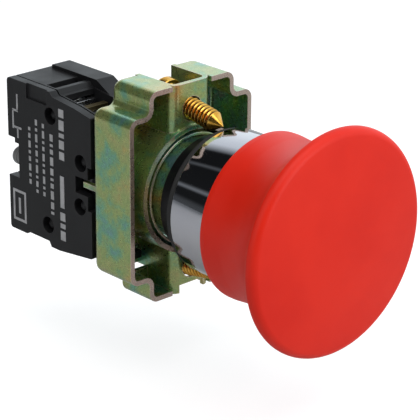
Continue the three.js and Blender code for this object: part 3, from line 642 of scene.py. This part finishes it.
# %% [markdown]
# ## Clamp screws
# A thread is a height field on a cylinder: at distance s along the axis and angle a,
# the radius dips wherever s / pitch - a / 2 pi is near a half. The same grid runs on
# into the point and the head, and a cutter opens the driver slot.

# %% Clamp screws

SCREW_TILT = math.radians(10)
SCREW_TIP = np.array([0, -0.3, 13.4])
SCREW_LENGTH, HEAD_HEIGHT = 14.0, 2.2
SCREW_RADIUS, HEAD_RADIUS = 1.95, 2.9
PITCH, THREAD_DEPTH = 0.82, 0.5
POINT_LENGTH = 2.6
SCREW_SIDES = 72
SLOT_SIZE = (0.8, 1.0, 8.0)


def screw_frame(side):
    """The axis of a clamp screw and the two directions across it."""
    axis = np.array([0, math.cos(SCREW_TILT), side * math.sin(SCREW_TILT)])
    across = np.array([1.0, 0, 0])
    return axis, across, np.cross(axis, across)


def clamp_screw(side, label):
    """r(s, a) = R - depth * dip(s / pitch - a / 2 pi), inside a cone at the point."""
    along = np.concatenate([np.linspace(0, SCREW_LENGTH, 330), [SCREW_LENGTH + 0.01]])
    head = rounded_profile([
        (SCREW_RADIUS - THREAD_DEPTH, SCREW_LENGTH + 0.02, 0),
        (HEAD_RADIUS, SCREW_LENGTH + 0.02, 0.25),
        (HEAD_RADIUS, SCREW_LENGTH + HEAD_HEIGHT, 0.9), (0, SCREW_LENGTH + HEAD_HEIGHT, 0)], 6)
    angle = np.linspace(0, 2 * math.pi, SCREW_SIDES, endpoint=False)[:, None]
    phase = (along / PITCH - angle / (2 * math.pi)) % 1
    dip = np.clip(1.35 - 2.7 * np.abs(phase - 0.5), 0, 1)
    fade = np.clip(SCREW_LENGTH - along, 0, 1) * np.clip(along - POINT_LENGTH + 0.9, 0, 1)
    shank = SCREW_RADIUS - THREAD_DEPTH + THREAD_DEPTH * (1 - dip * fade)
    cone = 0.05 + along * (SCREW_RADIUS / POINT_LENGTH)
    radius = np.minimum(shank, cone)
    # root: 1 at the bottom of the thread, where the painted shade goes
    root = np.clip((SCREW_RADIUS - shank) / THREAD_DEPTH * 1.3 - 0.25, 0, 1) * fade
    pole, head_grid = np.zeros((SCREW_SIDES, 1)), (SCREW_SIDES, len(head))
    radius = np.hstack([pole, radius, np.broadcast_to(head[:, 0], head_grid)])
    root = np.hstack([pole, root, np.zeros(head_grid)])
    s = np.concatenate([[0], along, head[:, 1]])
    axis, across, up = screw_frame(side)
    tip = SCREW_TIP * [1, 1, side]
    points = (tip + s[None, :, None] * axis
              + radius[..., None] * (np.cos(angle)[..., None] * across
                                     + np.sin(angle)[..., None] * up)) * MM
    screw = grid_mesh(f"clamp_screw_{label}_skin", points)
    screw.data.attributes.new("root", "FLOAT", "POINT").data.foreach_set("value", root.ravel())
    finish_mesh(screw)
    slot = box_cutter("slot", SLOT_SIZE, tip + axis * (SCREW_LENGTH + HEAD_HEIGHT),
                      (across, axis, up))
    carve(screw, slot)
    return screw


BOX_FACES = [(0, 1, 3, 2), (4, 6, 7, 5), (0, 4, 5, 1), (2, 3, 7, 6), (0, 2, 6, 4), (1, 5, 7, 3)]


def box_cutter(name, size, centre, axes):
    """A box of the given size along three axes, used once to cut and then removed."""
    corner = np.array([[x, y, z] for x in (-0.5, 0.5) for y in (-0.5, 0.5) for z in (-0.5, 0.5)])
    points = (np.array(centre) + (corner * size) @ np.array(axes)) * MM
    mesh = bpy.data.meshes.new(name)
    mesh.from_pydata(points, [], BOX_FACES)
    cutter = bpy.data.objects.new(name, mesh)
    bpy.context.scene.collection.objects.link(cutter)
    return finish_mesh(cutter)


def carve(piece, cutter):
    """Cuts the cutter out of the piece for good, and removes the cutter."""
    modifier = piece.modifiers.new("cut", "BOOLEAN")
    modifier.operation = "DIFFERENCE"
    modifier.solver = "EXACT"
    modifier.object = cutter
    bpy.context.view_layer.update()
    result = piece.evaluated_get(bpy.context.evaluated_depsgraph_get())
    mesh = bpy.data.meshes.new_from_object(result)
    piece.modifiers.clear()
    piece.data = mesh
    bpy.data.objects.remove(cutter)


for side, label in ((1, "top"), (-1, "bottom")):
    stand_in(clamp_screw(side, label), f"clamp_screw_{label}", GOLD)

# %% [markdown]
# ## Coil springs
# A spring's wire is a circle carried along a helix: the helix gives the place, and its
# own outward and axial directions give the circle's plane.

# %% Coil springs

STEPS_PER_TURN, WIRE_SIDES = 28, 12


def coil_spring(name, node, axis, turns, wire):
    """P(t, a) = start + s(t) axis + R out(t) + wire (cos a out(t) + sin a axis), where
    out(t) turns round the axis and s(t) runs evenly between the node's two ends."""
    first, last = low(node), high(node)
    others = [k for k in range(3) if k != axis]
    coil_radius = (last - first)[others].max() / 2 - wire
    steps = turns * STEPS_PER_TURN
    t = np.linspace(0, 1, steps)[:, None, None]
    a = np.linspace(0, 2 * math.pi, WIRE_SIDES, endpoint=False)[None, :, None]
    along, side, up = np.eye(3)[[axis, *others]]
    out = np.cos(2 * math.pi * turns * t) * side + np.sin(2 * math.pi * turns * t) * up
    start = (first + last) / 2
    start[axis] = first[axis] + wire
    stretch = last[axis] - first[axis] - 2 * wire
    points = start + t * stretch * along + coil_radius * out
    points = points + wire * (np.cos(a) * out + np.sin(a) * along)
    ends = points[[0, -1]].mean(axis=1, keepdims=True)
    ends = np.repeat(ends, WIRE_SIDES, axis=1)
    closed = np.concatenate([ends[:1], points, ends[1:]])
    spring = grid_mesh(name, closed * MM, closed_u=False, closed_v=True)
    return finish_mesh(spring)


# each spring's axis (0 for X, 1 for Y), its turns and its wire's radius
SPRINGS = {"return_spring": (1, 5, 0.2), "contact_spring": (1, 4, 0.16),
           "detent_spring_left": (0, 3, 0.16), "detent_spring_right": (0, 3, 0.16)}
for node, (axis, turns, wire) in SPRINGS.items():
    stand_in(coil_spring(f"{node}_skin", node, axis, turns, wire), node, STEEL)

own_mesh(bpy.data.objects["return_spring_skin"])

# %% [markdown]
# ## Moulded and pressed pieces
# The contact block's mouldings and the pressed collar already have the right shape as
# CAD, but no real edge is sharp. Each is copied, its loose triangles are merged into
# clean faces, and a narrow bevel rounds every edge so that it catches a line of light.

# %% Moulded and pressed pieces

SOFT_EDGE = 0.18
CREASE = math.radians(35)


def softened_copy(node, width):
    """A merged copy of a CAD node's mesh; a live bevel rounds its edges and weighted
    normals keep its large faces flat."""
    piece = bpy.data.objects.new(f"{node}_skin", frame["nodes"][node].data.copy())
    bpy.context.scene.collection.objects.link(piece)
    bm = bmesh.new()
    bm.from_mesh(piece.data)
    bmesh.ops.remove_doubles(bm, verts=bm.verts, dist=2e-6)
    bmesh.ops.dissolve_limit(bm, angle_limit=math.radians(1), verts=bm.verts, edges=bm.edges)
    bm.to_mesh(piece.data)
    bm.free()
    piece.data.polygons.foreach_set("use_smooth", np.ones(len(piece.data.polygons), bool))
    piece.data.set_sharp_from_angle(angle=CREASE)
    bevel = piece.modifiers.new("soft edges", "BEVEL")
    bevel.width = width * MM
    bevel.segments = 3
    bevel.limit_method = "ANGLE"
    bevel.angle_limit = CREASE
    weighted = piece.modifiers.new("flat faces", "WEIGHTED_NORMAL")
    weighted.weight = 80
    return piece


for node, slot, material in (
    ("fixing_collar", "yellow_chromate", CHROMATE),
    ("block_housing", "black_plastic", BLACK),
    ("block_cover", "black_plastic", BLACK),
    ("block_plunger", "grey_plastic", GREY),
):
    stand_in(softened_copy(node, SOFT_EDGE), node, material)

# %% [markdown]
# ## Printed marks
# A contact block's side carries its ratings and a contact symbol in white ink. Here
# the words are left out: rows of plain dashes stand for the lines of print, with one
# solid bar and the standard sign of a normally closed contact. The ink is a thin
# layer with a thickness of its own, lying on the cover.

# %% Printed marks

cover_x = low("block_cover")[0]
cover_front, cover_rear = low("block_cover")[1], high("block_cover")[1]
INK_THICKNESS = 0.03
INK_ROOT = 0.01
INK = finish("white ink", (0.44, 0.44, 0.45), (0.36, 0.36, 0.37), 0.6, bump=0.3, grain=2600.0,
             slow=700.0)


def dashes(y, top, bottom, width, lengths, gap=0.55):
    """One row of print: dashes of the given lengths, repeated from z = top down to z =
    bottom at distance y behind the cover's front edge; each is (y0, y1, z0, z1)."""
    row, z, turn = [], top, 0
    while z - lengths[turn % len(lengths)] > bottom:
        length = lengths[turn % len(lengths)]
        row.append((y - width / 2, y + width / 2, z - length, z))
        z -= length + gap
        turn += 1
    return row


def ink_layer(name, marks):
    """Every mark (y0, y1, z0, z1) becomes a thin box standing on the cover's face."""
    marks = np.array(marks)
    x = np.array([cover_x - INK_THICKNESS, cover_x + INK_ROOT])
    pick = np.array([[i, j, k] for i in (0, 1) for j in (0, 1) for k in (2, 3)])
    points = np.stack([np.broadcast_to(x[pick[:, 0]], (len(marks), 8)),
                       cover_front + marks[:, pick[:, 1]], marks[:, pick[:, 2]]], axis=-1)
    faces = (np.array(BOX_FACES)[None] + 8 * np.arange(len(marks))[:, None, None]).reshape(-1, 4)
    mesh = bpy.data.meshes.new(name)
    mesh.from_pydata(points.reshape(-1, 3) * MM, [], faces)
    piece = bpy.data.objects.new(name, mesh)
    bpy.context.scene.collection.objects.link(piece)
    return finish_mesh(piece)


marks = [(7.6, 8.7, -5.7, 0.4)]
marks += dashes(8.1, 13.0, 1.2, 1.4, (1.5, 1.9, 0.8, 1.6))
marks += dashes(8.1, -6.6, -13.0, 1.4, (1.6, 0.9, 1.8))
marks += dashes(11.0, 7.6, -8.2, 0.85, (1.3, 0.5, 0.9, 1.6))
marks += dashes(13.3, 9.0, -6.4, 0.6, (0.8, 1.4, 0.5))
marks += dashes(15.3, 9.3, -6.0, 0.6, (1.1, 0.6, 1.5, 0.5))
marks += dashes(17.3, 7.4, -4.6, 0.6, (0.6, 0.9, 1.3))
# contact symbol: two leads and a blade that rests on the stop beside one of them
marks += [(20.5, 20.9, 9.6, 12.8), (20.5, 20.9, 4.4, 6.4), (20.5, 22.2, 9.4, 9.8),
          (21.8, 22.2, 6.0, 9.6), (19.6, 21.8, 6.2, 6.6)]
# frame with a bar, in the lower corner
marks += [(18.8, 22.6, -6.3, -5.8), (18.8, 22.6, -11.9, -11.4), (18.8, 19.3, -11.4, -6.3),
          (22.1, 22.6, -11.4, -6.3), (20.4, 21.0, -10.4, -7.3)]
ink = ink_layer("cover_print", marks)
ink.data.materials.append(INK)
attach(ink, "root")
print(f"cover_print: {len(marks)} marks")

# %% [markdown]
# ## Stage, light and camera
# A plain pale floor lies well below the part, and large soft panels light it. Chrome
# only shows what surrounds it, so the panels leave a dark gap between them that
# becomes the black band round the bezel.

# %% Floor, panels and world


def panel(name, place, size, power):
    """A soft rectangular light at place, turned to face the part."""
    data = bpy.data.lights.new(name, "AREA")
    data.shape = "RECTANGLE"
    data.size, data.size_y = size
    data.energy = power
    light = bpy.data.objects.new(name, data)
    light.location = place
    light.rotation_euler = (-place).to_track_quat("-Z", "Y").to_euler()
    bpy.context.scene.collection.objects.link(light)


def sight(azimuth, elevation):
    """The unit vector from the part towards a viewer at these angles, in degrees;
    azimuth 0 is straight in front, and a negative one is to the left."""
    a, e = math.radians(azimuth), math.radians(elevation)
    return Vector((math.sin(a) * math.cos(e), -math.cos(a) * math.cos(e), math.sin(e)))


FLOOR_REACH, FLOOR_Z = 3.0, -0.034
FLOOR_GLOW, WORLD_STRENGTH = 0.62, 1.35
floor_mesh = bpy.data.meshes.new("floor")
floor_mesh.from_pydata(
    [(x * FLOOR_REACH, y * FLOOR_REACH, FLOOR_Z) for x, y in ((-1, -1), (1, -1), (1, 1), (-1, 1))],
    [], [(0, 1, 2, 3)])
floor = bpy.data.objects.new("floor", floor_mesh)
bpy.context.scene.collection.objects.link(floor)
FLOOR = finish("pale floor", (0.56, 0.56, 0.56), (0.53, 0.53, 0.53), 0.8, bump=0.0, slow=3.0,
               spread=0.02)
floor_tree = FLOOR.node_tree
floor_shader = floor_tree.nodes["Principled BSDF"]
ray = floor_tree.nodes.new("ShaderNodeLightPath")
floor_shader.inputs["Emission Color"].default_value = (1, 1, 1, 1)
glow = math_node(floor_tree, "MULTIPLY", ray.outputs["Is Camera Ray"], FLOOR_GLOW)
floor_tree.links.new(glow, floor_shader.inputs["Emission Strength"])
floor_mesh.materials.append(FLOOR)

# turn about the part's axis in degrees, 0 overhead and 90 to the right, and brightness
STUDIO_WALLS = [(-180, 0.40), (-125, 0.20), (-98, 0.08), (-84, 0.06), (-78, 0.012), (-66, 0.012),
                (-62, 0.20), (-57, 0.012), (-25, 0.01), (-21, 0.10), (-17, 0.01), (8, 0.01),
                (26, 0.78), (62, 1.0), (120, 0.85), (180, 0.40)]


def studio_world():
    """Brightness by the angle atan2(x, z) round the part's own axis, so that every edge
    of a reflection in the turned chrome runs straight along it."""
    world = bpy.data.worlds.new("studio")
    world.use_nodes = True
    tree = world.node_tree
    place = tree.nodes.new("ShaderNodeTexCoord")
    parts = tree.nodes.new("ShaderNodeSeparateXYZ")
    tree.links.new(place.outputs["Generated"], parts.inputs[0])
    turn = math_node(tree, "ARCTAN2", parts.outputs["X"], parts.outputs["Z"])
    ramp = tree.nodes.new("ShaderNodeValToRGB")
    elements = ramp.color_ramp.elements
    while len(elements) < len(STUDIO_WALLS):
        elements.new(0.5)
    for element, (degrees, grey) in zip(elements, STUDIO_WALLS):
        element.position = degrees / 360 + 0.5
        element.color = (grey * 0.88, grey * 0.95, grey, 1)
    tree.links.new(remap(tree, turn, 0.0, 1.0, -math.pi, math.pi), ramp.inputs["Fac"])
    back = tree.nodes["Background"]
    tree.links.new(ramp.outputs["Color"], back.inputs["Color"])
    back.inputs["Strength"].default_value = WORLD_STRENGTH
    return world


bpy.context.scene.world = studio_world()
bpy.context.scene.view_settings.view_transform = "Standard"

TOP_POWER, LEFT_POWER, FRONT_POWER = 2.4, 0.8, 2.05
panel("top panel", sight(-30, 70) * 0.6, (0.6, 0.5), TOP_POWER)
panel("left panel", sight(-95, 25) * 0.6, (0.35, 0.5), LEFT_POWER)
panel("front panel", sight(10, 20) * 0.8, (0.5, 0.5), FRONT_POWER)

# %% Camera

CAMERA_AZIMUTH = -43.26
CAMERA_ELEVATION = 21.51
CAMERA_ROLL = 0.50
CAMERA_DISTANCE = 0.3437
CAMERA_LENS = 167.8
CAMERA_AIM = Vector((-0.25, 2.57, -2.71)) * MM

camera_data = bpy.data.cameras.new("camera")
camera_data.lens = CAMERA_LENS
camera_data.sensor_width = 36
camera_data.clip_start = 0.01
camera = bpy.data.objects.new("camera", camera_data)
towards = sight(CAMERA_AZIMUTH, CAMERA_ELEVATION)
camera.location = CAMERA_AIM + towards * CAMERA_DISTANCE
turn = (-towards).to_track_quat("-Z", "Y").to_matrix().to_4x4()
spin = Matrix.Rotation(math.radians(CAMERA_ROLL), 4, "Z")
camera.matrix_world = Matrix.Translation(camera.location) @ turn @ spin
bpy.context.scene.collection.objects.link(camera)
bpy.context.scene.camera = camera
